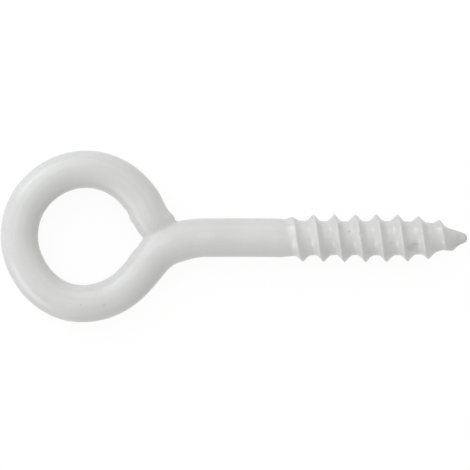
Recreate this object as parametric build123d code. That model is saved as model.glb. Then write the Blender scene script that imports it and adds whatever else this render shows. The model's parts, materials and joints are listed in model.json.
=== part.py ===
import os
from math import cos, radians, sin, sqrt, tan

from build123d import *

# Screw eye of white coated steel, bent and rolled from one wire.
# An eye closes on a neck bend, and a plain shank runs on into a wood thread and a point.
# The origin is the centre of the eye, in the middle of the wire. +X runs along the shank to the point,
# and +Z along the axis of the eye's hole. Lengths are in millimetres and angles in degrees.

# Wire
EYE_INSIDE_D = 10.5
EYE_WIRE_D = 4.0
SHANK_D = 4.14
SHANK_EASE = 3.0  # length over which the shank thins to the wire of the eye

# Shoulders, where the round of the eye closes towards the neck on a smaller radius
SHOULDER_INSIDE_R = 4.75
UPPER_SHOULDER_ANGLE = 95.0
LOWER_SHOULDER_ANGLE = -125.0

# Leg with the wire's cut end, which stops short of the centreline of the neck
END_LEG_SLOPE = 58.0
END_SETBACK = 1.4

# Leg that runs on into the shank, through one sharp bend and one gentle bend
NECK_LEG_SLOPE = 50.5
NECK_BEND_INSIDE_R = 1.6
NECK_RUN = 3.75  # between the corners of the two bends
NECK_SLOPE = 13.0
NECK_EASE_R = 10.0
NECK_STRAIGHT = 0.5

# Shank and thread, which is right-handed
SHANK_DROP = 0.12  # of the shank's axis, below the centre of the eye
PLAIN_SHANK_LENGTH = 7.65
THREAD_LENGTH = 19.8
THREAD_PITCH = 2.25
THREAD_D = 5.18
ROOT_D = 3.64
ROOT_SHOULDER = 0.9  # length of the step from the shank down to the root
VALLEY_FLAT = 0.5
FLANK_HOLLOW = 0.12
FADE_IN = 2.4
RUN_OUT = 5.5
THREAD_START_ANGLE = 192.0  # from +Y towards +Z
PROFILES_PER_TURN = 8

# Foot of the thread, which reaches under the surface that it stands on and past its flanks
FOOT_DEPTH = 0.12
FOOT_SPREAD = 0.18
LEAST_SHARE = 0.3  # of the thread's full width, kept where it runs out

# Point: a blunt cone, and a shallow one that leads into it from the root
POINT_HALF_ANGLE = 19.0
POINT_BALL_R = 0.6
LEAD_HALF_ANGLE = 5.0
LEAD_LENGTH = 2.85

# Radii that follow
wire_r = EYE_WIRE_D / 2
shank_r = SHANK_D / 2
root_r = ROOT_D / 2
crest_r = THREAD_D / 2
eye_r = EYE_INSIDE_D / 2 + wire_r
shoulder_r = SHOULDER_INSIDE_R + wire_r
bend_r = NECK_BEND_INSIDE_R + wire_r


def polar(radius, angle):
    """Point in the plane of the eye, at an angle from +X."""
    return Vector(radius * cos(radians(angle)), radius * sin(radians(angle)))


def distance_to_line(start, direction, point, line_direction):
    """How far along one direction a straight run meets a line."""
    gap = point - start
    across = direction.X * line_direction.Y - direction.Y * line_direction.X
    return (gap.X * line_direction.Y - gap.Y * line_direction.X) / across


# Centreline of the wire from the cut end, round the eye and through the neck
upper_centre = polar(eye_r - shoulder_r, UPPER_SHOULDER_ANGLE)
lower_centre = polar(eye_r - shoulder_r, LOWER_SHOULDER_ANGLE)
upper_end_angle = 90 - END_LEG_SLOPE
lower_end_angle = NECK_LEG_SLOPE - 90
upper_end = upper_centre + polar(shoulder_r, upper_end_angle)
lower_end = lower_centre + polar(shoulder_r, lower_end_angle)
end_leg_direction = polar(1, -END_LEG_SLOPE)
neck_leg_direction = polar(1, NECK_LEG_SLOPE)
neck_run_direction = polar(1, NECK_SLOPE)

# The gentle bend brings the neck run level with the axis of the shank.
sharp_corner_y = -SHANK_DROP - NECK_RUN * sin(radians(NECK_SLOPE))
sharp_corner = lower_end + neck_leg_direction * ((sharp_corner_y - lower_end.Y) / neck_leg_direction.Y)
gentle_corner = sharp_corner + neck_run_direction * NECK_RUN
shank_x = gentle_corner.X + NECK_EASE_R * tan(radians(NECK_SLOPE / 2)) + NECK_STRAIGHT
thread_x = shank_x + PLAIN_SHANK_LENGTH
tip_x = thread_x + THREAD_LENGTH

# The end leg comes down on whichever side of the sharp corner it meets last.
end_reach = max(
    distance_to_line(upper_end, end_leg_direction, sharp_corner, neck_leg_direction),
    distance_to_line(upper_end, end_leg_direction, sharp_corner, neck_run_direction),
)
cut_end = upper_end + end_leg_direction * (end_reach - END_SETBACK)

# Point of the screw: a ball, a cone tangent to it and the shallow cone before it
ball_x = tip_x - POINT_BALL_R
ball_end_x = ball_x + POINT_BALL_R * sin(radians(POINT_HALF_ANGLE))
ball_end_r = POINT_BALL_R * cos(radians(POINT_HALF_ANGLE))
cone_r = root_r - LEAD_LENGTH * tan(radians(LEAD_HALF_ANGLE))
cone_x = ball_end_x - (cone_r - ball_end_r) / tan(radians(POINT_HALF_ANGLE))
lead_x = cone_x - LEAD_LENGTH


def core_radius(x):
    """Radius of the core that the thread stands on."""
    if x <= lead_x:
        return root_r
    if x <= cone_x:
        return cone_r + (cone_x - x) * tan(radians(LEAD_HALF_ANGLE))
    if x <= ball_end_x:
        return ball_end_r + (ball_end_x - x) * tan(radians(POINT_HALF_ANGLE))
    return sqrt(max(POINT_BALL_R**2 - (x - ball_x) ** 2, 0))


def thread_height(x):
    """Height of the crest over the core, as it rises out of the shank and runs out at the point."""
    buried = shank_r - FOOT_DEPTH
    rising = buried + (crest_r - buried) * min((x - thread_x) / FADE_IN, 1) - root_r
    falling = (crest_r - root_r) * sqrt(min((ball_x - x) / RUN_OUT, 1))
    return min(rising, falling)


def thread_profile(turns):
    """Closed profile of the thread, a number of turns after its start: two hollow flanks and a foot."""
    x = thread_x + THREAD_PITCH * turns
    turned = radians(THREAD_START_ANGLE + 360 * turns)
    height = thread_height(x)
    share = max(height / (crest_r - root_r), LEAST_SHARE)
    half_width = (THREAD_PITCH - VALLEY_FLAT) / 2 * share
    foot_width = half_width + FOOT_SPREAD

    def at(along, radius):
        return Vector(x + along, radius * cos(turned), radius * sin(turned))

    def foot(side):
        return at(side * foot_width, core_radius(x + side * foot_width) - FOOT_DEPTH)

    def middle(side):
        surface = core_radius(x + side * half_width / 2)
        return at(side * half_width / 2, surface + height / 2 - FLANK_HOLLOW * share)

    crest = at(0, core_radius(x) + max(height, -FOOT_DEPTH / 2))
    return Wire(
        [
            Edge.make_three_point_arc(foot(-1), middle(-1), crest),
            Edge.make_three_point_arc(crest, middle(1), foot(1)),
            Edge.make_line(foot(1), foot(-1)),
        ]
    )


def thread_turns():
    """The thread as solids of one turn each, which meet end to end."""
    steps = int((ball_x - thread_x) / THREAD_PITCH * PROFILES_PER_TURN)
    turns = []
    for first in range(0, steps, PROFILES_PER_TURN):
        last = min(first + PROFILES_PER_TURN, steps)
        profiles = [thread_profile(step / PROFILES_PER_TURN) for step in range(first, last + 1)]
        turns.append(Solid.make_loft(profiles))
    return turns


def turned_core():
    """Plain shank, root of the thread and point, turned about the X axis."""
    eased_x = shank_x + SHANK_EASE
    root_x = thread_x + ROOT_SHOULDER
    middle_of_ball_x = ball_x + POINT_BALL_R * sin(radians((POINT_HALF_ANGLE + 90) / 2))
    middle_of_ball = (middle_of_ball_x, core_radius(middle_of_ball_x))
    outline = [
        Polyline((tip_x, 0), (shank_x, 0), (shank_x, wire_r), (eased_x, shank_r), (thread_x, shank_r)),
        Polyline((thread_x, shank_r), (root_x, root_r), (lead_x, root_r), (cone_x, cone_r)),
        Line((cone_x, cone_r), (ball_end_x, ball_end_r)),
        ThreePointArc((ball_end_x, ball_end_r), middle_of_ball, (tip_x, 0)),
    ]
    return revolve(make_face(outline), Axis.X)


def wire_along(path):
    """Round wire along a path in the plane of the eye."""
    return sweep(Plane(origin=path @ 0, z_dir=path % 0) * Circle(wire_r), path=path)


def bent_wire():
    """Eye, both legs and the neck, in two lengths that meet opposite the neck."""
    far_side = 180
    end_half = Wire(
        [
            Line(cut_end, upper_end),
            CenterArc(upper_centre, shoulder_r, upper_end_angle, UPPER_SHOULDER_ANGLE - upper_end_angle),
            CenterArc((0, 0), eye_r, UPPER_SHOULDER_ANGLE, far_side - UPPER_SHOULDER_ANGLE),
        ]
    )
    neck = FilletPolyline(
        lower_end, sharp_corner, gentle_corner, (shank_x, -SHANK_DROP), radius=[bend_r, NECK_EASE_R]
    )
    neck_half = Wire(
        [
            CenterArc((0, 0), eye_r, far_side, far_side + LOWER_SHOULDER_ANGLE),
            CenterArc(lower_centre, shoulder_r, LOWER_SHOULDER_ANGLE, lower_end_angle - LOWER_SHOULDER_ANGLE),
            *neck.edges(),
        ]
    )
    return wire_along(end_half) + wire_along(neck_half)


on_shank_axis = Pos(0, -SHANK_DROP, 0)
screw_eye = bent_wire() + on_shank_axis * turned_core()
for thread_turn in thread_turns():
    screw_eye += on_shank_axis * thread_turn

os.makedirs("parts", exist_ok=True)
export_step(screw_eye, "parts/screw_eye.step")
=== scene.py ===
"""A white coated screw eye, on a pale floor under soft light.

Lengths are in metres. The origin is the centre of the eye, in the middle of the wire. +X runs along the
shank to the point, and +Z along the axis of the eye's hole, up from the floor.
"""

import json
from math import cos, pi, radians, sin, tan

import bpy
import numpy as np
from bpy.props import FloatProperty, FloatVectorProperty, PointerProperty
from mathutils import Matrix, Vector


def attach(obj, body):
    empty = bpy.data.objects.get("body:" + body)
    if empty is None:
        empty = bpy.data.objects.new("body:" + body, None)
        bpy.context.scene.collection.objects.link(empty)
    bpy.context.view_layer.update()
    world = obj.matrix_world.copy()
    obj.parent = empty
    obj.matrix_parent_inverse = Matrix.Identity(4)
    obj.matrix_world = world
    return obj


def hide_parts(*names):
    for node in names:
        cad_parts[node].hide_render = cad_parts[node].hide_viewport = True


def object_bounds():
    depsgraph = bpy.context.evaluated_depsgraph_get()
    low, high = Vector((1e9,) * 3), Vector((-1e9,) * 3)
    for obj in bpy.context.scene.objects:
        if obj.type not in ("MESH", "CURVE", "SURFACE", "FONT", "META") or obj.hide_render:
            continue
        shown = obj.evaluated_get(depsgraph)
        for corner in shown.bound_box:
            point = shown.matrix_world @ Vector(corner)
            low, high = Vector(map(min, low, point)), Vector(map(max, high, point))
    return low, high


bl_info = {
    "name": "Screw Eye",
    "version": (1, 0, 0),
    "blender": (4, 5, 0),
    "location": "View3D > Sidebar > Screw Eye",
    "description": "Builds a white coated screw eye with a wood thread, and a stage to show it on",
    "category": "Add Mesh",
}

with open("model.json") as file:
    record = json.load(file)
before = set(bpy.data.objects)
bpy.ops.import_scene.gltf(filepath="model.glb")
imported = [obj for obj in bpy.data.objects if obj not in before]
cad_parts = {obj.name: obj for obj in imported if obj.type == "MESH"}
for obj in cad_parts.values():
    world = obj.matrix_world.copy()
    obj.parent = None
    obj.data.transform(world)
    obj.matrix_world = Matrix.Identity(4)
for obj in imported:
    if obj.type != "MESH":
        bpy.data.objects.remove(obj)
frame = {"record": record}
CAD_BOX = [list(corner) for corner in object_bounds()]
THREAD_MOUNT = next(mount for mount in frame["record"]["mounts"] if mount["name"] == "wood_thread")

MM = 0.001
THREAD_X = THREAD_MOUNT["pos_m"][0]
TIP_X = CAD_BOX[1][0]
FLOOR_Z = CAD_BOX[0][2]

# Slow unevenness of the bent eye: angle from +X in degrees, how far it stands out and spread of the angle
EYE_UNEVENNESS = (
    (3, -0.08 * MM, 7),
    (19, -0.07 * MM, 7),
    (32, 0.09 * MM, 6),
    (65, -0.04 * MM, 18),
    (152, 0.04 * MM, 16),
    (208, -0.06 * MM, 18),
    (250, 0.055 * MM, 14),
    (283, -0.035 * MM, 16),
    (325, 0.13 * MM, 13),
)

# Half thickness of the wire with its coat, by distance along it from the sharp bend of the neck
NECK_THICKNESS = (
    (-9.0 * MM, 2.00 * MM),
    (-3.0 * MM, 2.03 * MM),
    (-0.5 * MM, 2.14 * MM),
    (1.6 * MM, 2.17 * MM),
    (3.4 * MM, 2.09 * MM),
    (6.0 * MM, 2.07 * MM),
)

# Radius of the core and of the thread's crest, by place along the shank
CORE_RADII = (
    (20.3 * MM, 2.07 * MM),
    (21.2 * MM, 2.02 * MM),
    (22.6 * MM, 1.90 * MM),
    (25.2 * MM, 1.83 * MM),
    (33.8 * MM, 1.82 * MM),
    (35.6 * MM, 1.75 * MM),
    (37.0 * MM, 1.62 * MM),
    (38.4 * MM, 1.18 * MM),
    (39.3 * MM, 0.92 * MM),
    (40.35 * MM, 0.565 * MM),
)
CREST_RADII = (
    (20.3 * MM, 2.05 * MM),
    (21.2 * MM, 2.16 * MM),
    (22.0 * MM, 2.28 * MM),
    (23.2 * MM, 2.50 * MM),
    (25.4 * MM, 2.54 * MM),
    (27.6 * MM, 2.56 * MM),
    (31.0 * MM, 2.55 * MM),
    (34.4 * MM, 2.48 * MM),
    (35.6 * MM, 2.34 * MM),
    (36.7 * MM, 2.22 * MM),
    (37.8 * MM, 1.95 * MM),
    (38.9 * MM, 1.42 * MM),
    (39.3 * MM, 1.30 * MM),
    (39.9 * MM, 0.78 * MM),
    (40.4 * MM, 0.50 * MM),
)

# Flanks of the thread: power that hollows them, and how far the last turn is drawn towards the tip
FLANK_HOLLOWNESS = 1.8
LAST_TURN_DRAWN = 0.27 * MM

# Cut end: how far its middle stands out, how far back the bead of coat lies and how long the bead is
END_DOME = 0.3 * MM
BEAD_SETBACK = 1.0 * MM
BEAD_SPREAD = 0.6 * MM

# Dents and thin places in the coat: place, half lengths along each axis and depth
DENTS = (
    ((34.85 * MM, -0.95 * MM, 1.75 * MM), (0.75 * MM, 0.34 * MM, 0.6 * MM), 0.14 * MM),
    ((29.19 * MM, 0.20 * MM, 2.50 * MM), (0.22 * MM, 0.25 * MM, 0.5 * MM), 0.16 * MM),
    ((36.9 * MM, 1.3 * MM, -1.2 * MM), (0.5 * MM, 0.4 * MM, 0.5 * MM), 0.10 * MM),
    ((-5.3 * MM, 4.6 * MM, -1.9 * MM), (0.5 * MM, 0.4 * MM, 0.5 * MM), 0.06 * MM),
    ((5.45 * MM, -0.85 * MM, 0.0 * MM), (0.8 * MM, 0.8 * MM, 1.8 * MM), 0.16 * MM),
)

# Small marks on the coat, and painted shade in the dent on the thread: place, half lengths along each axis
# and strength
MARKS_AND_DENT_SHADE = (
    ((-0.50 * MM, -7.15 * MM, 2.00 * MM), (0.13 * MM, 0.13 * MM, 0.4 * MM), 0.20),
    ((2.03 * MM, -7.20 * MM, 1.94 * MM), (0.15 * MM, 0.11 * MM, 0.4 * MM), 0.18),
    ((1.82 * MM, -5.24 * MM, 1.37 * MM), (0.10 * MM, 0.08 * MM, 0.4 * MM), 0.12),
    ((28.08 * MM, 0.66 * MM, 1.90 * MM), (0.20 * MM, 0.12 * MM, 0.4 * MM), 0.28),
    ((30.32 * MM, -1.65 * MM, 1.50 * MM), (0.22 * MM, 0.12 * MM, 0.5 * MM), 0.20),
    ((32.48 * MM, -0.59 * MM, 1.85 * MM), (0.25 * MM, 0.14 * MM, 0.4 * MM), 0.14),
    # The next two are painted shade in the dent on the thread, over a scuff in its coat.
    ((35.10 * MM, -0.74 * MM, 1.85 * MM), (0.46 * MM, 0.16 * MM, 0.5 * MM), 0.26),
    ((34.60 * MM, -1.10 * MM, 1.55 * MM), (0.80 * MM, 0.40 * MM, 0.6 * MM), 0.17),
    ((16.4 * MM, 1.1 * MM, -1.7 * MM), (0.16 * MM, 0.10 * MM, 0.4 * MM), 0.35),
    ((-6.1 * MM, -3.4 * MM, -1.95 * MM), (0.14 * MM, 0.12 * MM, 0.4 * MM), 0.40),
)

# How far the edges of the marks and of the painted dent shade wander
MARK_RAGGEDNESS = 0.12 * MM

# Lines of the net that the surface is meshed on: start, end and step
NET_X = (
    (-9.7 * MM, 4.2 * MM, 0.21 * MM),
    (4.2 * MM, 10.8 * MM, 0.125 * MM),
    (10.8 * MM, 20.4 * MM, 0.20 * MM),
    (20.4 * MM, 41.1 * MM, 0.08 * MM),
)
NET_Y = (
    (-9.7 * MM, -2.9 * MM, 0.21 * MM),
    (-2.9 * MM, 2.9 * MM, 0.105 * MM),
    (2.9 * MM, 9.7 * MM, 0.21 * MM),
)
NET_Z = ((-2.85 * MM, 2.85 * MM, 0.105 * MM),)

# Lamps, each named as its brightness is: azimuth and elevation in degrees, and size
LAMP_DISTANCE = 0.3
LAMPS = (
    ("fill", 15, 58, (0.40, 0.40)),
    ("key", 135, 60, (0.15, 0.15)),
    ("broad", 120, 30, (0.40, 0.25)),
    ("low_back", 134, 20, (0.16, 0.10)),
    ("low_front", 218, 15, (0.20, 0.14)),
)
FLOOR_WIDTH = 3.0


class ScrewEyeSizes(bpy.types.PropertyGroup):
    """Sizes of the wire, its bends and its thread."""

    eye_inside_diameter: FloatProperty(
        name="Eye inside diameter", description="Clear width of the eye", default=10.5 * MM, unit="LENGTH"
    )
    wire_diameter: FloatProperty(
        name="Wire diameter",
        description="Thickness of the eye's wire with its coat",
        default=4.0 * MM,
        unit="LENGTH",
    )
    shoulder_inside_radius: FloatProperty(
        name="Shoulder inside radius",
        description="Radius on which the eye closes towards the neck",
        default=4.75 * MM,
        unit="LENGTH",
    )
    upper_shoulder_angle: FloatProperty(
        name="Upper shoulder angle",
        description="Where the shoulder of the cut end starts, from +X",
        default=radians(95.0),
        subtype="ANGLE",
    )
    lower_shoulder_angle: FloatProperty(
        name="Lower shoulder angle",
        description="Where the shoulder of the neck starts, from +X",
        default=radians(-125.0),
        subtype="ANGLE",
    )
    end_leg_slope: FloatProperty(
        name="End leg slope",
        description="Slope of the leg that ends in the cut end",
        default=radians(58.0),
        subtype="ANGLE",
    )
    end_leg_length: FloatProperty(
        name="End leg length",
        description="Straight length of the leg with the cut end",
        default=4.6 * MM,
        unit="LENGTH",
    )
    neck_leg_slope: FloatProperty(
        name="Neck leg slope",
        description="Slope of the leg that runs on into the neck",
        default=radians(50.5),
        subtype="ANGLE",
    )
    neck_bend_inside_radius: FloatProperty(
        name="Neck bend inside radius",
        description="Radius of the sharp bend, with the coat that fills it",
        default=3.0 * MM,
        unit="LENGTH",
    )
    neck_run: FloatProperty(
        name="Neck run",
        description="Length between the corners of the two bends",
        default=3.75 * MM,
        unit="LENGTH",
    )
    neck_slope: FloatProperty(
        name="Neck slope",
        description="Slope of the neck between its two bends",
        default=radians(13.0),
        subtype="ANGLE",
    )
    neck_ease_radius: FloatProperty(
        name="Neck ease radius", description="Radius of the gentle bend", default=10.0 * MM, unit="LENGTH"
    )
    shank_drop: FloatProperty(
        name="Shank drop",
        description="How far the shank lies below the eye's centre",
        default=0.09 * MM,
        unit="LENGTH",
    )
    thread_sag: FloatProperty(
        name="Thread sag",
        description="How far the thread lies below the shank",
        default=0.06 * MM,
        unit="LENGTH",
    )
    thread_pitch: FloatProperty(
        name="Thread pitch",
        description="Length of one turn of the thread",
        default=2.25 * MM,
        unit="LENGTH",
    )
    thread_first_crest: FloatProperty(
        name="First crest",
        description="Place of the first full crest on the +Y side, from the start of the thread",
        default=1.05 * MM,
        unit="LENGTH",
    )
    thread_lean: FloatProperty(
        name="Thread lean",
        description="How far the crests lean back on the upper side",
        default=0.15 * MM,
        unit="LENGTH",
    )
    ridge_half_width: FloatProperty(
        name="Ridge half width",
        description="From a crest to the foot of its flank",
        default=0.92 * MM,
        unit="LENGTH",
    )
    crest_rounding: FloatProperty(
        name="Crest rounding",
        description="How far the coat blunts the crest",
        default=0.11 * MM,
        unit="LENGTH",
    )
    point_ball_radius: FloatProperty(
        name="Point radius", description="Radius of the blunt tip", default=0.6 * MM, unit="LENGTH"
    )


class CoatSettings(bpy.types.PropertyGroup):
    """Colours and finish of the coat."""

    colour: FloatVectorProperty(
        name="Coat",
        description="Colour of the white coat",
        default=(0.683, 0.683, 0.683),
        subtype="COLOR",
        size=3,
    )
    warm_colour: FloatVectorProperty(
        name="Warm coat",
        description="Colour where the coat is thin",
        default=(0.648, 0.648, 0.642),
        subtype="COLOR",
        size=3,
    )
    # The stain colour also paints the shade in the dent on the thread.
    stain_and_dent_shade: FloatVectorProperty(
        name="Stain",
        description="Colour of the small marks",
        default=(0.16, 0.14, 0.12),
        subtype="COLOR",
        size=3,
    )
    worn_colour: FloatVectorProperty(
        name="Worn point",
        description="Colour of the point, where the coat is worn",
        default=(0.54, 0.55, 0.54),
        subtype="COLOR",
        size=3,
    )
    roughness: FloatProperty(
        name="Roughness",
        description="Roughness of the coat's surface",
        default=0.29,
        subtype="FACTOR",
        min=0,
        max=1,
    )
    pooled_gloss: FloatProperty(
        name="Pooled gloss",
        description="How much smoother the thicker coat on the thread is",
        default=0.12,
        min=0,
    )
    peel_depth: FloatProperty(
        name="Peel depth",
        description="Depth of the orange peel in the coat",
        default=0.014 * MM,
        unit="LENGTH",
    )
    streak_depth: FloatProperty(
        name="Streak depth",
        description="Depth of the drawing lines along the wire",
        default=0.012 * MM,
        unit="LENGTH",
    )
    fillet: FloatProperty(
        name="Fillet",
        description="Reach of the coat that bridges the closed joint",
        default=1.1 * MM,
        unit="LENGTH",
    )
    end_rounding: FloatProperty(
        name="End rounding",
        description="Reach of the round on the cut end",
        default=3.6 * MM,
        unit="LENGTH",
    )
    bead: FloatProperty(
        name="Bead",
        description="Height of the bead of coat on the cut end",
        default=0.19 * MM,
        unit="LENGTH",
    )


class StageSettings(bpy.types.PropertyGroup):
    """Floor, light and camera."""

    floor_colour: FloatVectorProperty(
        name="Floor",
        description="Colour of the floor under the lamps",
        default=(0.28, 0.28, 0.28),
        subtype="COLOR",
        size=3,
    )
    floor_glow: FloatProperty(
        name="Floor glow", description="Light of the floor's own, as on a light table", default=0.33, min=0
    )
    floor_white: FloatProperty(
        name="Floor white",
        description="Brightness of the white that the floor shows to the camera",
        default=1.29,
        min=0,
    )
    shadow_fade: FloatProperty(
        name="Shadow fade",
        description="How much of the shadow on the floor is lost to white",
        default=0.6,
        subtype="FACTOR",
        min=0,
        max=1,
    )
    surround: FloatProperty(
        name="Surround", description="Strength of the light all round", default=0.60, min=0
    )
    surround_colour: FloatVectorProperty(
        name="Surround colour",
        description="Colour of the light all round, slightly warm",
        default=(1.0, 0.993, 0.95),
        subtype="COLOR",
        size=3,
    )
    lamp_colour: FloatVectorProperty(
        name="Lamp colour",
        description="Colour of the lamps, slightly cool",
        default=(0.935, 0.955, 1.0),
        subtype="COLOR",
        size=3,
    )
    fill: FloatProperty(
        name="Fill light", description="Brightness of the large panel", default=0.28, min=0
    )
    key: FloatProperty(
        name="Key light", description="Brightness of the high light", default=1.3, min=0
    )
    broad: FloatProperty(
        name="Broad light", description="Brightness of the wide light behind", default=0.78, min=0
    )
    low_back: FloatProperty(
        name="Low back light",
        description="Brightness of the low light on the upper left",
        default=2.7,
        min=0,
    )
    low_front: FloatProperty(
        name="Low front light",
        description="Brightness of the low light on the lower left",
        default=2.6,
        min=0,
    )
    lens: FloatProperty(
        name="Lens", description="Focal length in millimetres", default=180.0, unit="CAMERA", min=20
    )
    view_width: FloatProperty(
        name="View width",
        description="Width of the view at the object",
        default=50.37 * MM,
        unit="LENGTH",
    )
    view_centre: FloatVectorProperty(
        name="View centre",
        description="Point that the camera looks straight down on",
        default=(15.863 * MM, 0.193 * MM, 0),
        subtype="TRANSLATION",
        size=3,
    )


class Straight:
    """Straight run of the wire's centreline."""

    def __init__(self, start, end):
        self.start = np.array(start)
        self.length = float(np.hypot(*(np.array(end) - self.start)))
        self.direction = (np.array(end) - self.start) / self.length

    def locate(self, x, y):
        """Length along the run, offset to its left and distance beyond its ends, for each point."""
        from_x = x - self.start[0]
        from_y = y - self.start[1]
        reach = from_x * self.direction[0] + from_y * self.direction[1]
        side = from_y * self.direction[0] - from_x * self.direction[1]
        along = np.clip(reach, 0, self.length)
        return along, side, reach - along


class Bend:
    """Run of the wire's centreline on a circle."""

    def __init__(self, centre, radius, start_angle, end_angle):
        self.centre = np.array(centre)
        self.radius = radius
        self.middle = (start_angle + end_angle) / 2
        self.half_turn = abs(end_angle - start_angle) / 2
        self.hand = 1 if end_angle > start_angle else -1
        self.length = 2 * self.half_turn * radius

    def locate(self, x, y):
        """Length along the run, offset to its left and distance beyond its ends, for each point."""
        from_x = x - self.centre[0]
        from_y = y - self.centre[1]
        turned = (np.arctan2(from_y, from_x) - self.middle + pi) % (2 * pi) - pi
        nearest = np.clip(turned, -self.half_turn, self.half_turn)
        out_x = np.cos(self.middle + nearest)
        out_y = np.sin(self.middle + nearest)
        outward = from_x * out_x + from_y * out_y - self.radius
        beyond = from_y * out_x - from_x * out_y
        along = (self.half_turn + self.hand * nearest) * self.radius
        return along, -self.hand * outward, self.hand * beyond


class Centreline:
    """Runs that follow each other in the plane of the eye."""

    def __init__(self, *runs):
        self.runs = runs
        self.starts = np.cumsum([0] + [run.length for run in runs])

    def locate(self, x, y):
        """Length along the centreline, offset to its left and distance beyond its ends."""
        best = None
        for start, run in zip(self.starts, self.runs):
            along, side, beyond = run.locate(x, y)
            gap = side**2 + beyond**2
            if best is None:
                best = [gap, along, side, beyond]
                continue
            nearer = gap < best[0]
            for place, value in enumerate((gap, along + start, side, beyond)):
                best[place] = np.where(nearer, value, best[place])
        return best[1:]


def polar(radius, angle):
    """Point in the plane of the eye, at an angle from +X."""
    return np.array((radius * cos(angle), radius * sin(angle)))


def smooth_step(value, low, high):
    """0 below low and 1 above high, with an even passage between."""
    share = np.clip((value - low) / (high - low), 0, 1)
    return share * share * (3 - 2 * share)


def bell(value, centre, spread):
    """Bell curve of height 1."""
    return np.exp(-(((value - centre) / spread) ** 2))


def through(points, value):
    """Smooth curve through a few points, level beyond the first and the last."""
    at = np.array([point[0] for point in points])
    height = np.array([point[1] for point in points])
    slope = np.gradient(height, at)
    slope[0] = 0
    value = np.clip(value, at[0], at[-1])
    span = np.clip(np.searchsorted(at, value, side="right") - 1, 0, len(at) - 2)
    width = at[span + 1] - at[span]
    share = (value - at[span]) / width
    rise = height[span + 1] - height[span]
    first = slope[span] * width
    last = slope[span + 1] * width
    curve = 3 * rise - 2 * first - last + share * (first + last - 2 * rise)
    return height[span] + share * (first + share * curve)


def smooth_min(a, b, reach):
    """Lesser of two fields, with a fillet where they come within a reach of each other."""
    reach = np.maximum(reach, 1e-9)
    near = np.maximum(reach - np.abs(a - b), 0) / reach
    return np.minimum(a, b) - near**3 * reach / 6


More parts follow.
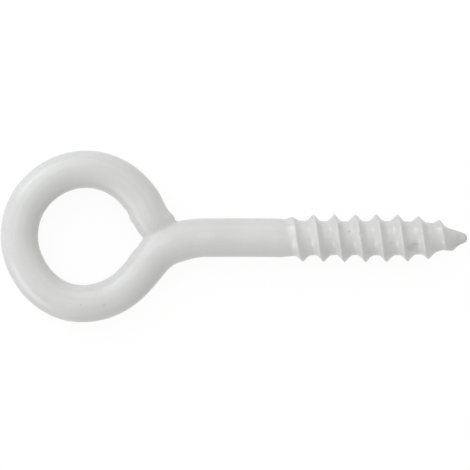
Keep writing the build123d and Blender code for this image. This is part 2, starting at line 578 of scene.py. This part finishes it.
class CoatedScrewEye:
    """Field that is zero on the coat's surface, less inside and more outside."""

    def __init__(self, sizes, coat):
        self.sizes = sizes
        self.coat = coat
        self.wire_r = sizes.wire_diameter / 2
        self.lay_out()

    def lay_out(self):
        """Centrelines of the two lengths of wire that start opposite the neck."""
        sizes = self.sizes
        far_side = pi
        eye_r = sizes.eye_inside_diameter / 2 + self.wire_r
        shoulder_r = sizes.shoulder_inside_radius + self.wire_r
        bend_r = sizes.neck_bend_inside_radius + self.wire_r
        upper_centre = polar(eye_r - shoulder_r, sizes.upper_shoulder_angle)
        lower_centre = polar(eye_r - shoulder_r, sizes.lower_shoulder_angle)
        upper_end_angle = pi / 2 - sizes.end_leg_slope
        lower_end_angle = sizes.neck_leg_slope - pi / 2
        upper_end = upper_centre + polar(shoulder_r, upper_end_angle)
        lower_end = lower_centre + polar(shoulder_r, lower_end_angle)
        leg_direction = polar(1, sizes.neck_leg_slope)
        corner_y = -sizes.shank_drop - sizes.neck_run * sin(sizes.neck_slope)
        sharp_corner = lower_end + leg_direction * (corner_y - lower_end[1]) / leg_direction[1]
        gentle_corner = sharp_corner + polar(sizes.neck_run, sizes.neck_slope)
        sharp_cut = bend_r * tan((sizes.neck_leg_slope - sizes.neck_slope) / 2)
        gentle_cut = sizes.neck_ease_radius * tan(sizes.neck_slope / 2)
        bend_start = sharp_corner - leg_direction * sharp_cut
        bend_end = sharp_corner + polar(sharp_cut, sizes.neck_slope)
        ease_start = gentle_corner - polar(gentle_cut, sizes.neck_slope)
        shank_start = gentle_corner + np.array((gentle_cut, 0))
        bend_centre = bend_start + polar(bend_r, sizes.neck_leg_slope - pi / 2)
        ease_centre = shank_start - np.array((0, sizes.neck_ease_radius))
        ball_x = TIP_X - sizes.point_ball_radius
        self.neck_line = Centreline(
            Bend((0, 0), eye_r, far_side, 2 * pi + sizes.lower_shoulder_angle),
            Bend(lower_centre, shoulder_r, sizes.lower_shoulder_angle, lower_end_angle),
            Straight(lower_end, bend_start),
            Bend(bend_centre, bend_r, sizes.neck_leg_slope + pi / 2, sizes.neck_slope + pi / 2),
            Straight(bend_end, ease_start),
            Bend(ease_centre, sizes.neck_ease_radius, sizes.neck_slope + pi / 2, pi / 2),
            Straight(shank_start, (ball_x, -sizes.shank_drop)),
        )
        cut_end = upper_end + polar(sizes.end_leg_length, -sizes.end_leg_slope)
        self.end_line = Centreline(
            Bend((0, 0), eye_r, far_side, sizes.upper_shoulder_angle),
            Bend(upper_centre, shoulder_r, sizes.upper_shoulder_angle, upper_end_angle),
            Straight(upper_end, cut_end),
        )
        starts = self.neck_line.starts
        self.sharp_bend_along = (starts[3] + starts[4]) / 2
        self.shank_along = starts[6]
        self.shank_start_x = shank_start[0]
        self.ball_x = ball_x
        self.end_along = self.end_line.starts[-1]
        self.joint = cut_end

    def uneven(self, x, y):
        """Points moved so that the eye comes out as uneven as it was bent."""
        angle = np.degrees(np.arctan2(y, x))
        out = np.hypot(x, y)
        standing = 0
        for at, height, spread in EYE_UNEVENNESS:
            standing = standing + height * bell((angle - at + 180) % 360 - 180, 0, spread)
        # It fades in the middle of the hole and along the shank.
        near_eye = smooth_step(out, 2 * MM, 5 * MM) * (1 - smooth_step(out, 11 * MM, 14 * MM))
        shrink = 1 - standing * near_eye / np.maximum(out, MM)
        sag = self.sizes.thread_sag * smooth_step(x, THREAD_X - 3 * MM, THREAD_X + 3 * MM)
        return x * shrink, y * shrink + sag

    def ridge(self, x, side, z):
        """How far the thread stands over the core."""
        sizes = self.sizes
        turned = np.arctan2(z, side) / (2 * pi)
        stretch = LAST_TURN_DRAWN * smooth_step(x, TIP_X - 2.6 * MM, TIP_X - 1.5 * MM)
        lean = sizes.thread_lean * np.sin(2 * pi * turned)
        # A whole number of pitches lies on a crest.
        pitches = (x + lean - stretch - THREAD_X - sizes.thread_first_crest) / sizes.thread_pitch - turned
        offset = (pitches - np.round(pitches)) * sizes.thread_pitch
        crest_x = x - offset
        wobble = 0.012 * MM * np.sin(2.3 * crest_x / MM + 5 * turned)
        wobble = wobble + 0.008 * MM * np.sin(4.1 * crest_x / MM)
        height = through(CREST_RADII, crest_x) - through(CORE_RADII, crest_x) + wobble
        blunt = np.sqrt(offset**2 + sizes.crest_rounding**2)
        share = np.clip(1 - blunt / sizes.ridge_half_width, 0, 1) ** FLANK_HOLLOWNESS
        full = (1 - sizes.crest_rounding / sizes.ridge_half_width) ** FLANK_HOLLOWNESS
        started = smooth_step(crest_x, THREAD_X - 0.7 * MM, THREAD_X + 0.5 * MM)
        return np.maximum(height, 0) * started * share / full

    def neck_field(self, x, y, z):
        """Lower half of the eye, neck, shank, thread and point."""
        along, side, beyond = self.neck_line.locate(x, y)
        shank_x = self.shank_start_x + along - self.shank_along + beyond * (along > self.shank_along)
        wire = through(NECK_THICKNESS, along - self.sharp_bend_along)
        core = np.where(shank_x < CORE_RADII[0][0], wire, through(CORE_RADII, shank_x))
        before = beyond * (along <= self.shank_along)
        from_axis = np.sqrt(side**2 + before**2 + z**2)
        shaft = from_axis - core - self.ridge(shank_x, side, z)
        ball = np.hypot(shank_x - self.ball_x, from_axis) - self.sizes.point_ball_radius
        return np.where(shank_x > CORE_RADII[-1][0], ball, shaft)

    def end_field(self, x, y, z):
        """Upper half of the eye, down to the cut end."""
        along, side, beyond = self.end_line.locate(x, y)
        outer = np.maximum(side, 0) / self.wire_r
        bead = self.coat.bead * bell(along, self.end_along - BEAD_SETBACK, BEAD_SPREAD)
        bead = bead * smooth_step(outer, 0.4, 1)
        tube = np.sqrt(side**2 + z**2 + np.minimum(beyond, 0) ** 2) - self.wire_r - bead
        dome = END_DOME * (1 - np.minimum((side**2 + z**2) / self.wire_r**2, 1))
        cap = along + beyond - self.end_along - dome
        # The end is rounded more towards its top and underside than at its sides.
        rounding = self.coat.end_rounding * (0.6 + 0.4 * np.minimum(np.abs(z) / self.wire_r, 1))
        return -smooth_min(-tube, -cap, rounding)

    def dents(self, x, y, z):
        """How deep the coat is dented."""
        depth = 0
        for (at_x, at_y, at_z), (long, wide, deep), most in DENTS:
            depth = depth + most * bell(x, at_x, long) * bell(y, at_y, wide) * bell(z, at_z, deep)
        return depth

    def __call__(self, x, y, z):
        """Value of the field at each point."""
        dented = self.dents(x, y, z)
        x, y = self.uneven(x, y)
        # The coat pools in the middle of the joint, and bridges nothing further along the wire.
        pooled = 0.35 + 0.65 * bell(x, self.joint[0] + 0.3 * MM, 1.2 * MM)
        from_joint = np.hypot(x - self.joint[0], y - self.joint[1])
        reach = self.coat.fillet * pooled * (1 - smooth_step(from_joint, 2.6 * MM, 4.4 * MM))
        return smooth_min(self.neck_field(x, y, z), self.end_field(x, y, z), reach) + dented

    def wire_place(self, x, y, z):
        """Length along the wire from the far side of the eye, offset in the plane of the eye and height."""
        x, y = self.uneven(x, y)
        along, side, _ = self.neck_line.locate(x, y)
        end_along, end_side, _ = self.end_line.locate(x, y)
        on_end = self.end_field(x, y, z) < self.neck_field(x, y, z)
        return np.where(on_end, -end_along, along), np.where(on_end, -end_side, side), z


def net_lines(spans):
    """Places of the net's lines along one axis."""
    lines = [np.linspace(low, high, round((high - low) / step), endpoint=False) for low, high, step in spans]
    return np.concatenate(lines + [[spans[-1][1]]])


def slope_of(field, points):
    """Gradient of the field at each point."""
    step = 0.002 * MM
    columns = []
    for axis in range(3):
        shift = np.zeros(3)
        shift[axis] = step
        rise = field(*(points + shift).T) - field(*(points - shift).T)
        columns.append(rise / (2 * step))
    return np.stack(columns, axis=1)


def onto_surface(field, points, rounds):
    """Points moved along the gradient until the field is zero there."""
    for _ in range(rounds):
        slope = slope_of(field, points)
        # The square is kept off zero, so that no point is thrown far away.
        square = np.maximum((slope**2).sum(axis=1), 0.05)
        points = points - slope * (field(*points.T) / square)[:, None]
    return points


def net_surface(field):
    """Points and four-sided faces of the surface of a field, with one point for each cell of the net."""
    lines = [net_lines(spans) for spans in (NET_X, NET_Y, NET_Z)]
    values = field(lines[0][:, None, None], lines[1][None, :, None], lines[2][None, None, :])
    cells = tuple(len(line) - 1 for line in lines)
    sums = np.zeros((np.prod(cells), 3))
    counts = np.zeros(np.prod(cells))
    quads = []
    for axis in range(3):
        low = np.take(values, range(values.shape[axis] - 1), axis=axis)
        high = np.take(values, range(1, values.shape[axis]), axis=axis)
        crossed = np.stack(np.nonzero((low < 0) != (high < 0)), axis=1)
        leaving = low[tuple(crossed.T)] < 0
        share = low[tuple(crossed.T)] / (low[tuple(crossed.T)] - high[tuple(crossed.T)])
        place = np.stack([lines[a][crossed[:, a]] for a in range(3)], axis=1)
        place[:, axis] += share * (lines[axis][crossed[:, axis] + 1] - lines[axis][crossed[:, axis]])
        second, third = (axis + 1) % 3, (axis + 2) % 3
        corners = []
        for back_second, back_third in ((0, 0), (1, 0), (1, 1), (0, 1)):
            cell = crossed.copy()
            cell[:, second] -= back_second
            cell[:, third] -= back_third
            number = np.ravel_multi_index(tuple(cell.T), cells)
            np.add.at(sums, number, place)
            np.add.at(counts, number, 1)
            corners.append(number)
        quad = np.stack(corners, axis=1)
        quads.append(np.where(leaving[:, None], quad, quad[:, ::-1]))
    used = counts > 0
    numbers = np.cumsum(used) - 1
    return sums[used] / counts[used][:, None], numbers[np.concatenate(quads)]


def evened(field, points, quads, rounds):
    """Points slid along the surface towards the middle of their neighbours."""
    ends = np.concatenate([quads[:, [a, (a + 1) % 4]] for a in range(4)])
    for _ in range(rounds):
        sums = np.zeros_like(points)
        counts = np.zeros(len(points))
        np.add.at(sums, ends[:, 0], points[ends[:, 1]])
        np.add.at(counts, ends[:, 0], 1)
        pull = sums / counts[:, None] - points
        slope = slope_of(field, points)
        normal = slope / np.linalg.norm(slope, axis=1)[:, None]
        pull -= normal * (pull * normal).sum(axis=1)[:, None]
        points = onto_surface(field, points + 0.5 * pull, 1)
    return points


def node(tree, kind, inputs=None, **settings):
    """New shader node. An input is a value or another node's socket."""
    made = tree.nodes.new(kind)
    for name, value in settings.items():
        setattr(made, name, value)
    for name, value in (inputs or {}).items():
        if isinstance(value, bpy.types.NodeSocket):
            tree.links.new(value, made.inputs[name])
        else:
            made.inputs[name].default_value = value
    return made


def noise(tree, place, waves_per_mm, detail=2.0, stretch=(1, 1, 1)):
    """Socket of a noise, 0 to 1, that is stretched along each axis."""
    scale = [waves_per_mm / MM / axis for axis in stretch]
    scaled = node(tree, "ShaderNodeMapping", {"Vector": place, "Scale": scale})
    texture = node(tree, "ShaderNodeTexNoise", {"Vector": scaled.outputs[0], "Scale": 1.0, "Detail": detail})
    return texture.outputs["Fac"]


def arithmetic(tree, operation, first, second):
    """Socket of one sum, product or other step on two values."""
    return node(tree, "ShaderNodeMath", {0: first, 1: second}, operation=operation).outputs[0]


def ramp(tree, value, low, high, to_low=0.0, to_high=1.0):
    """Socket that passes smoothly from one value to another."""
    inputs = {"Value": value, "From Min": low, "From Max": high, "To Min": to_low, "To Max": to_high}
    return node(tree, "ShaderNodeMapRange", inputs, interpolation_type="SMOOTHSTEP").outputs[0]


def mixed(tree, share, first, second):
    """Socket of a blend of two colours."""
    return node(tree, "ShaderNodeMix", {0: share, 6: first, 7: second}, data_type="RGBA").outputs[2]


def spots_and_dent_shade(tree, place):
    """Socket that is high on the small marks and on the painted shade in the dent on the thread."""
    shade = None
    for centre, reach, strength in MARKS_AND_DENT_SHADE:
        from_centre = node(tree, "ShaderNodeVectorMath", {0: place, 1: centre}, operation="SUBTRACT")
        scaled = node(tree, "ShaderNodeVectorMath", {0: from_centre.outputs[0], 1: reach}, operation="DIVIDE")
        away = node(tree, "ShaderNodeVectorMath", {0: scaled.outputs[0]}, operation="LENGTH")
        # Each mark is full to 0.4 of its half lengths and gone at 1.4 of them.
        mark = ramp(tree, away.outputs["Value"], 1.4, 0.4, 0.0, strength)
        shade = mark if shade is None else arithmetic(tree, "MAXIMUM", shade, mark)
    return shade


def coat_material(coat):
    """Glossy white coat with drawing lines along the wire, a faint orange peel, small marks and painted shade
    in the dent on the thread.
    """
    material = bpy.data.materials.new("white_coat")
    material.use_nodes = True
    tree = material.node_tree
    surface = tree.nodes["Principled BSDF"]
    place = node(tree, "ShaderNodeTexCoord").outputs["Object"]
    wire = node(tree, "ShaderNodeAttribute", attribute_name="wire_place").outputs["Vector"]
    streaks = noise(tree, wire, waves_per_mm=1.6, detail=3.0, stretch=(22, 1, 1))
    clouds = noise(tree, place, waves_per_mm=0.22)
    peel = noise(tree, place, waves_per_mm=1.1, detail=1.5)
    grain = noise(tree, place, waves_per_mm=7.0)
    warped = node(tree, "ShaderNodeTexNoise", {"Vector": place, "Scale": 2.5 / MM, "Detail": 1.0})
    shifted = node(
        tree,
        "ShaderNodeVectorMath",
        {0: warped.outputs["Color"], 1: [MARK_RAGGEDNESS] * 3, 2: place},
        operation="MULTIPLY_ADD",
    )
    marks_and_dent_shade = spots_and_dent_shade(tree, shifted.outputs[0])

    thin = ramp(tree, arithmetic(tree, "ADD", streaks, clouds), 0.80, 1.20)
    colour = mixed(tree, thin, (*coat.colour, 1), (*coat.warm_colour, 1))
    x = node(tree, "ShaderNodeSeparateXYZ", {0: place}).outputs["X"]
    near_point = ramp(tree, x, TIP_X - 2.6 * MM, TIP_X - 0.3 * MM, 0.0, 1.0)
    worn = arithmetic(tree, "MULTIPLY", near_point, ramp(tree, peel, 0.35, 0.60, 0.35, 1.0))
    colour = mixed(tree, worn, colour, (*coat.worn_colour, 1))
    # The stain colour covers the small marks and paints the shade in the dent on the thread.
    colour = mixed(tree, marks_and_dent_shade, colour, (*coat.stain_and_dent_shade, 1))
    tree.links.new(colour, surface.inputs["Base Color"])

    pooled = ramp(tree, x, THREAD_X - MM, THREAD_X + 2 * MM, 0.0, coat.pooled_gloss)
    dulled = arithmetic(tree, "MULTIPLY", arithmetic(tree, "MAXIMUM", marks_and_dent_shade, worn), 0.3)
    roughness = ramp(tree, streaks, 0.35, 0.65, coat.roughness - 0.04, coat.roughness + 0.06)
    roughness = arithmetic(tree, "ADD", roughness, ramp(tree, grain, 0.4, 0.7, 0.0, 0.04))
    roughness = arithmetic(tree, "SUBTRACT", roughness, pooled)
    roughness = arithmetic(tree, "ADD", roughness, dulled)
    tree.links.new(roughness, surface.inputs["Roughness"])

    height = arithmetic(tree, "MULTIPLY", peel, coat.peel_depth)
    height = arithmetic(tree, "ADD", height, arithmetic(tree, "MULTIPLY", streaks, coat.streak_depth))
    height = arithmetic(tree, "ADD", height, arithmetic(tree, "MULTIPLY", grain, coat.peel_depth / 10))
    height = arithmetic(tree, "SUBTRACT", height, arithmetic(tree, "MULTIPLY", marks_and_dent_shade, coat.peel_depth))
    bump = node(tree, "ShaderNodeBump", {"Height": height, "Strength": 1.0, "Distance": 1.0})
    tree.links.new(bump.outputs[0], surface.inputs["Normal"])
    return material


def coated_mesh(field):
    """Mesh of the coat's surface, with its true normals and each point's place along the wire."""
    points, quads = net_surface(field)
    points = onto_surface(field, points, 3)
    points = evened(field, points, quads, 2)
    points = onto_surface(field, points, 2)
    slope = slope_of(field, points)
    mesh = bpy.data.meshes.new("coated_screw_eye")
    mesh.from_pydata(points.tolist(), [], quads.tolist())
    mesh.polygons.foreach_set("use_smooth", np.ones(len(quads), bool))
    normals = slope / np.linalg.norm(slope, axis=1)[:, None]
    mesh.normals_split_custom_set_from_vertices(normals.tolist())
    wire_place = mesh.attributes.new("wire_place", "FLOAT_VECTOR", "POINT")
    wire_place.data.foreach_set("vector", np.stack(field.wire_place(*points.T), axis=1).ravel())
    return mesh


class MESH_OT_coated_screw_eye(bpy.types.Operator):
    """Builds the screw eye with its coat, in place of the plain solid"""

    bl_idname = "mesh.coated_screw_eye"
    bl_label = "Coated Screw Eye"
    bl_options = {"REGISTER", "UNDO"}

    def execute(self, context):
        coat = context.scene.screw_eye_coat
        mesh = coated_mesh(CoatedScrewEye(context.scene.screw_eye_sizes, coat))
        mesh.materials.append(coat_material(coat))
        piece = bpy.data.objects.new("coated_screw_eye", mesh)
        context.scene.collection.objects.link(piece)
        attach(piece, "root")
        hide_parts("screw_eye")
        return {"FINISHED"}


class SCENE_OT_screw_eye_stage(bpy.types.Operator):
    """Sets the floor, the light and the camera"""

    bl_idname = "scene.screw_eye_stage"
    bl_label = "Screw Eye Stage"
    bl_options = {"REGISTER", "UNDO"}

    def execute(self, context):
        settings = context.scene.screw_eye_stage
        lay_floor(context, settings)
        light_scene(context, settings)
        place_camera(context, settings)
        context.scene.view_settings.view_transform = "Standard"
        return {"FINISHED"}


def seen_directly(tree):
    """Socket that is 1 where the camera looks, directly or through a reflection."""
    path = node(tree, "ShaderNodeLightPath")
    seen = arithmetic(tree, "MAXIMUM", path.outputs["Is Camera Ray"], path.outputs["Is Glossy Ray"])
    return arithmetic(tree, "MAXIMUM", seen, path.outputs["Is Transmission Ray"])


def lay_floor(context, settings):
    """Pale floor that the screw eye lies on."""
    half = FLOOR_WIDTH / 2
    corners = [(x, y, FLOOR_Z) for x, y in ((-half, -half), (half, -half), (half, half), (-half, half))]
    mesh = bpy.data.meshes.new("floor")
    mesh.from_pydata(corners, [], [(0, 1, 2, 3)])
    material = bpy.data.materials.new("pale_floor")
    material.use_nodes = True
    tree = material.node_tree
    lit = tree.nodes["Principled BSDF"]
    lit.inputs["Base Color"].default_value = (*settings.floor_colour, 1)
    lit.inputs["Roughness"].default_value = 0.9
    lit.inputs["Specular IOR Level"].default_value = 0.0
    lit.inputs["Emission Color"].default_value = (1, 1, 1, 1)
    lit.inputs["Emission Strength"].default_value = settings.floor_glow
    white = node(tree, "ShaderNodeEmission", {"Strength": settings.floor_white})
    share = arithmetic(tree, "MULTIPLY", seen_directly(tree), settings.shadow_fade)
    surface = node(tree, "ShaderNodeMixShader", {0: share, 1: lit.outputs[0], 2: white.outputs[0]})
    tree.links.new(surface.outputs[0], tree.nodes["Material Output"].inputs["Surface"])
    mesh.materials.append(material)
    floor = bpy.data.objects.new("floor", mesh)
    context.scene.collection.objects.link(floor)


def area_light(context, name, azimuth, elevation, size, radiance):
    """Soft light that faces the eye, with a width, a height and a brightness to look at."""
    light = bpy.data.lights.new(name, "AREA")
    light.shape = "RECTANGLE"
    light.size, light.size_y = size
    light.energy = radiance * pi * size[0] * size[1]
    light.color = context.scene.screw_eye_stage.lamp_colour
    lamp = bpy.data.objects.new(name, light)
    level = polar(cos(radians(elevation)), radians(azimuth))
    direction = Vector((*level, sin(radians(elevation))))
    lamp.location = direction * LAMP_DISTANCE
    lamp.rotation_mode = "QUATERNION"
    lamp.rotation_quaternion = direction.to_track_quat("Z", "Y")
    context.scene.collection.objects.link(lamp)


def light_scene(context, settings):
    """Even surround, a large fill panel, and four soft lights that all come from the left."""
    world = bpy.data.worlds.new("surround")
    world.use_nodes = True
    tree = world.node_tree
    background = tree.nodes["Background"]
    seen = seen_directly(tree)
    inputs = {"Value": seen, "To Min": settings.surround, "To Max": 1.0}
    strength = node(tree, "ShaderNodeMapRange", inputs)
    tree.links.new(strength.outputs[0], background.inputs["Strength"])
    colour = mixed(tree, seen, (*settings.surround_colour, 1), (1, 1, 1, 1))
    tree.links.new(colour, background.inputs["Color"])
    context.scene.world = world
    for name, azimuth, elevation, size in LAMPS:
        area_light(context, name, azimuth, elevation, size, getattr(settings, name))


def place_camera(context, settings):
    """Camera that looks straight down, with +X to the right."""
    camera = bpy.data.cameras.new("camera")
    camera.lens = settings.lens
    distance = settings.view_width * settings.lens / camera.sensor_width
    camera.clip_start = 0.01
    camera.clip_end = 10
    eye = bpy.data.objects.new("camera", camera)
    eye.location = Vector(settings.view_centre) + Vector((0, 0, distance))
    context.scene.collection.objects.link(eye)
    context.scene.camera = eye


class VIEW3D_PT_screw_eye(bpy.types.Panel):
    """Sizes, finish and stage of the screw eye."""

    bl_label = "Screw Eye"
    bl_idname = "VIEW3D_PT_screw_eye"
    bl_space_type = "VIEW_3D"
    bl_region_type = "UI"
    bl_category = "Screw Eye"

    def draw(self, context):
        scene = context.scene
        groups = (
            (MESH_OT_coated_screw_eye, (scene.screw_eye_sizes, scene.screw_eye_coat)),
            (SCENE_OT_screw_eye_stage, (scene.screw_eye_stage,)),
        )
        for operator, settings in groups:
            box = self.layout.box()
            for group in settings:
                for name in group.__annotations__:
                    box.prop(group, name)
            box.operator(operator.bl_idname)


CLASSES = (
    ScrewEyeSizes,
    CoatSettings,
    StageSettings,
    MESH_OT_coated_screw_eye,
    SCENE_OT_screw_eye_stage,
    VIEW3D_PT_screw_eye,
)


def register():
    """Makes the settings, operators and panel known to Blender."""
    for cls in CLASSES:
        bpy.utils.register_class(cls)
    bpy.types.Scene.screw_eye_sizes = PointerProperty(type=ScrewEyeSizes)
    bpy.types.Scene.screw_eye_coat = PointerProperty(type=CoatSettings)
    bpy.types.Scene.screw_eye_stage = PointerProperty(type=StageSettings)


def unregister():
    """Takes them away again."""
    del bpy.types.Scene.screw_eye_stage
    del bpy.types.Scene.screw_eye_coat
    del bpy.types.Scene.screw_eye_sizes
    for cls in reversed(CLASSES):
        bpy.utils.unregister_class(cls)


def main():
    """Builds the screw eye and its stage."""
    register()
    bpy.ops.mesh.coated_screw_eye()
    bpy.ops.scene.screw_eye_stage()


if __name__ == "__main__":
    main()
